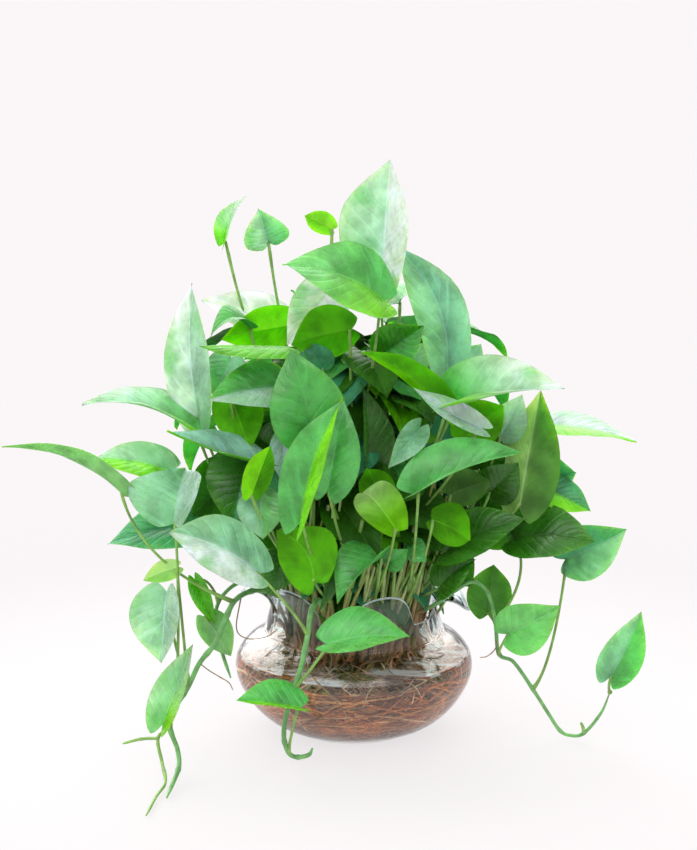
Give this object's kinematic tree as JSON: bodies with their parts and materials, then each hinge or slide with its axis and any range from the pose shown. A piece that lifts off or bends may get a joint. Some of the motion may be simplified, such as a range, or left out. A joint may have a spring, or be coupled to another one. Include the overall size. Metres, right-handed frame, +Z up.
{
  "type": "potted pothos plant",
  "caption": "Trailing pothos growing in water in a round clear glass bowl with a petalled mouth, its roots filling the bowl.",
  "frame": {"origin": "centre of the bowl's flat base, on the surface it stands on", "axes": "+Z up, -Y towards the picture's camera, +X to the camera's right"},
  "size_m": [0.4805, 0.3396, 0.4452],
  "materials": {
    "glass": "clear blown glass, smooth",
    "water": "clear still water",
    "roots": "matt fibrous roots, reddish brown with tan strands",
    "leaf": "waxy satin leaves on pale green stalks",
    "vine": "waxy satin leaves on green trailing stems"
  },
  "bodies": {
    "root": {"glass_bowl": "glass", "water": "water", "root_mass": "roots", "cutting_01": "leaf", "cutting_02": "leaf", "cutting_03": "leaf", "cutting_04": "leaf", "cutting_05": "leaf", "cutting_06": "leaf", "cutting_07": "leaf", "cutting_08": "leaf", "cutting_09": "leaf", "cutting_10": "leaf", "cutting_11": "leaf", "cutting_12": "leaf", "cutting_13": "leaf", "cutting_14": "leaf", "cutting_15": "leaf", "cutting_16": "leaf", "cutting_17": "leaf", "cutting_18": "leaf", "cutting_19": "leaf", "cutting_20": "leaf", "cutting_21": "leaf", "vine_left": "vine", "vine_left_back": "vine", "vine_front": "vine", "vine_right": "vine"}
  },
  "joints": []
}
